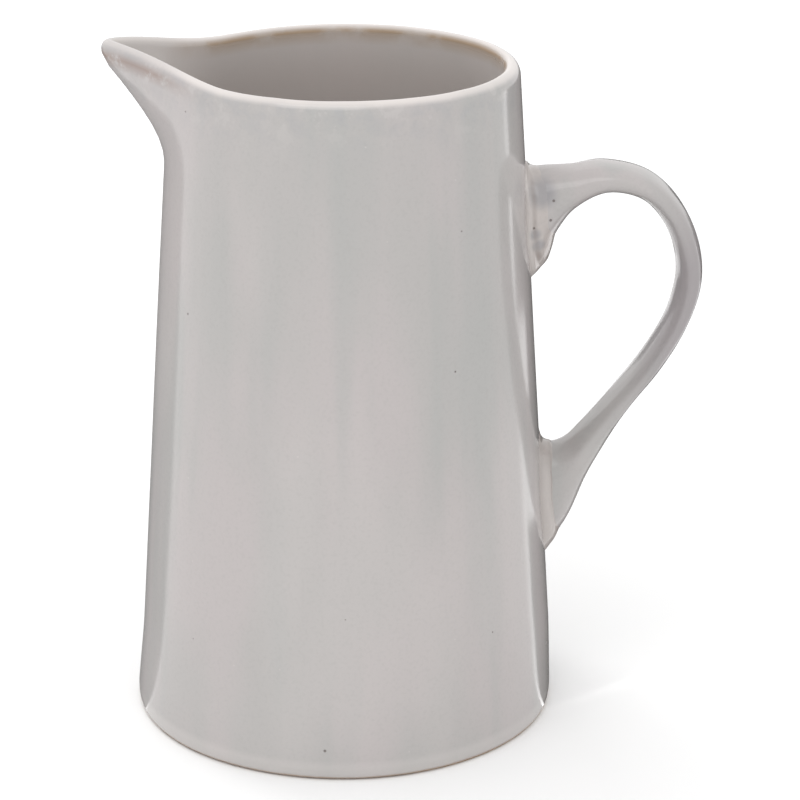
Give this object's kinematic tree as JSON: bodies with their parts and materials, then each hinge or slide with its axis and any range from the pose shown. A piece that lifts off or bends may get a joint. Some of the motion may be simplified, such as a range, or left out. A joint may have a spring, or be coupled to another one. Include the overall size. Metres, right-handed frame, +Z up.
{
  "type": "pitcher",
  "caption": "Tapered glazed stoneware pitcher with a pulled spout and a strap handle, standing on a bare clay foot.",
  "frame": {"origin": "centre of the foot, on the body's axis, in the plane the pitcher stands on", "axes": "+Z up along the body's axis, +X towards the handle, -X towards the spout"},
  "size_m": [0.194, 0.141, 0.227],
  "materials": {
    "glaze": "glossy warm grey glaze",
    "bare_clay": "matt unglazed buff stoneware"
  },
  "bodies": {
    "root": {"body_wall": "glaze", "floor_disc": "glaze", "floor_slip_seam": "bare_clay", "floor_joint_coil": "glaze", "foot_ring": "bare_clay", "handle_strap": "glaze", "upper_slip_seam": "bare_clay", "lower_slip_seam": "bare_clay", "upper_root_collar": "glaze", "lower_root_collar": "glaze"}
  },
  "joints": []
}
